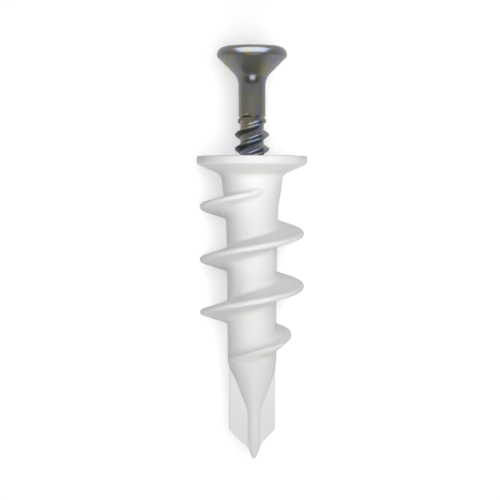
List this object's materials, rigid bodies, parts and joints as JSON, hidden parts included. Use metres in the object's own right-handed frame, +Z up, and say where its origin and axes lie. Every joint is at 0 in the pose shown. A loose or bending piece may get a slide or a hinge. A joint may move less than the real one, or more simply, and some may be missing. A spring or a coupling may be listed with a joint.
{
  "type": "self-drilling plasterboard anchor",
  "caption": "White nylon self-drilling plasterboard plug with coarse outside thread and flat drill point, its zinc-plated countersunk screw part way in.",
  "frame": {"origin": "on the surface it lies on, under the centre of the pair's bounding box", "axes": "+Z up from the surface, +Y from the drill tip towards the screw's head, close to the common axis, which rises 1.5 degrees towards the head"},
  "size_m": [0.0132, 0.0494, 0.0132],
  "materials": {
    "white_nylon": "satin",
    "zinc_plated_steel": "gloss"
  },
  "bodies": {
    "anchor": {"anchor_body": "white_nylon"},
    "fixing_screw": {"screw": "zinc_plated_steel"}
  },
  "joints": [
    {"name": "screw_drive", "type": "slide", "parent": "anchor", "child": "fixing_screw", "axis": [0, 0.9997, 0.0254], "range_m": [-0.0118, 0.016]}
  ]
}
